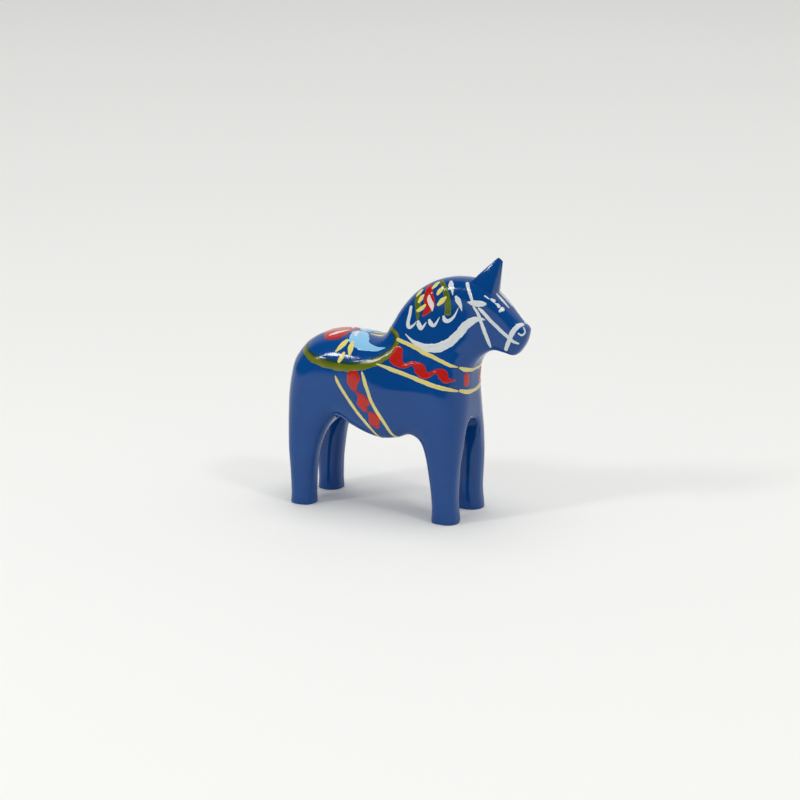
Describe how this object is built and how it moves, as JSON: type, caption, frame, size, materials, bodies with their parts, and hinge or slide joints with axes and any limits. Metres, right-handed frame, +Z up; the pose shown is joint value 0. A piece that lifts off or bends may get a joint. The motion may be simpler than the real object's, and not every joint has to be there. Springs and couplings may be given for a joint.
{
  "type": "dala horse",
  "caption": "Small standing wooden horse, cut from one plank and whittled, painted deep blue with a brushed floral saddle, collar, girth, mane and bridle; stands on four flat soles.",
  "frame": {"origin": "on the floor, under the middle of the bounding box", "axes": "+Z up, nose towards +X, the horse's left flank towards +Y; the side in view in the picture is -Y"},
  "size_m": [0.0663, 0.0224, 0.0692],
  "materials": {
    "blue_wood": "deep blue gloss paint and clear varnish over whittled pine",
    "white_paint": "off-white brush strokes under gloss varnish",
    "yellow_paint": "pale yellow brush strokes under gloss varnish",
    "red_paint": "red brush strokes under gloss varnish",
    "green_paint": "thin streaky olive green brush strokes under gloss varnish",
    "light_blue_paint": "light blue brush strokes under gloss varnish"
  },
  "bodies": {
    "root": {"bridle_brow_left": "white_paint", "bridle_brow_right": "white_paint", "bridle_cheek_left": "white_paint", "bridle_cheek_right": "white_paint", "bridle_crown_left": "white_paint", "bridle_crown_right": "white_paint", "bridle_nose_left": "white_paint", "bridle_nose_right": "white_paint", "bridle_rein_left": "white_paint", "bridle_rein_right": "white_paint", "bridle_rosette_left": "white_paint", "bridle_rosette_right": "white_paint", "carved_horse": "blue_wood", "chest_dab_left": "red_paint", "chest_dab_right": "red_paint", "collar_lower_front": "yellow_paint", "collar_lower_left": "yellow_paint", "collar_lower_right": "yellow_paint", "collar_upper_front": "yellow_paint", "collar_upper_left": "yellow_paint", "collar_upper_right": "yellow_paint", "collar_wave_left": "red_paint", "collar_wave_right": "red_paint", "girth_dabs_left": "red_paint", "girth_dabs_right": "red_paint", "girth_front_left": "yellow_paint", "girth_front_right": "yellow_paint", "girth_rear_left": "yellow_paint", "girth_rear_right": "yellow_paint", "mane_leaf_front_left": "green_paint", "mane_leaf_front_right": "green_paint", "mane_leaf_rear_left": "green_paint", "mane_leaf_rear_right": "green_paint", "mane_petal_left": "red_paint", "mane_petal_right": "red_paint", "mane_sweep_left": "white_paint", "mane_sweep_right": "white_paint", "saddle_border": "green_paint", "saddle_comma_left": "light_blue_paint", "saddle_comma_right": "light_blue_paint", "saddle_flower": "red_paint", "saddle_leaf_front_left": "yellow_paint", "saddle_leaf_front_right": "yellow_paint", "saddle_leaf_middle_left": "yellow_paint", "saddle_leaf_middle_right": "yellow_paint", "saddle_leaf_rear_left": "yellow_paint", "saddle_leaf_rear_right": "yellow_paint"}
  },
  "joints": []
}
